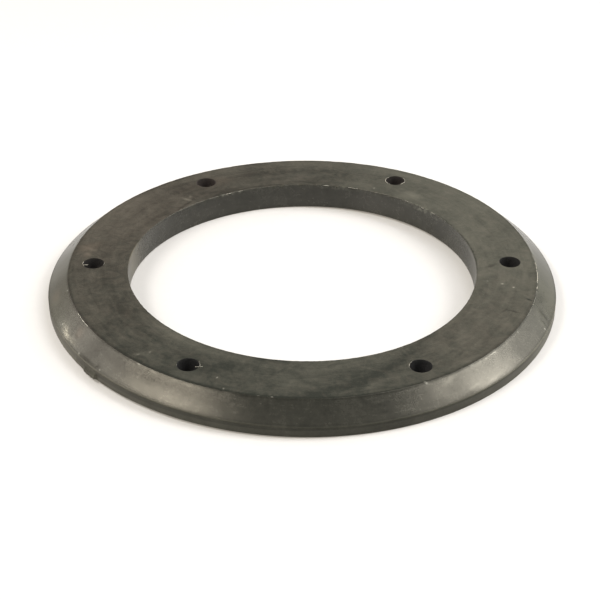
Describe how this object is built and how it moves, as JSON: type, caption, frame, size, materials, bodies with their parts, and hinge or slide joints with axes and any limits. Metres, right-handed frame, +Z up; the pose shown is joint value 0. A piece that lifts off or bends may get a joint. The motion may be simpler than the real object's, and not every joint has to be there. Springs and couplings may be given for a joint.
{
  "type": "toilet flange",
  "caption": "Flat moulded rubber ring with a straight bore, plain screw holes and a bevelled outer edge, seating a toilet on a floor drain.",
  "frame": {"origin": "centre of the flat underside, on the axis of the bore", "axes": "+Z up through the bore, from the floor towards the toilet; +X through the middle of a screw hole"},
  "size_m": [0.178, 0.178, 0.0095],
  "materials": {
    "moulded_rubber": "satin charcoal, dull and mottled on the flat face, smoother on the bevel"
  },
  "bodies": {
    "root": {"flange_ring": "moulded_rubber"}
  },
  "joints": []
}
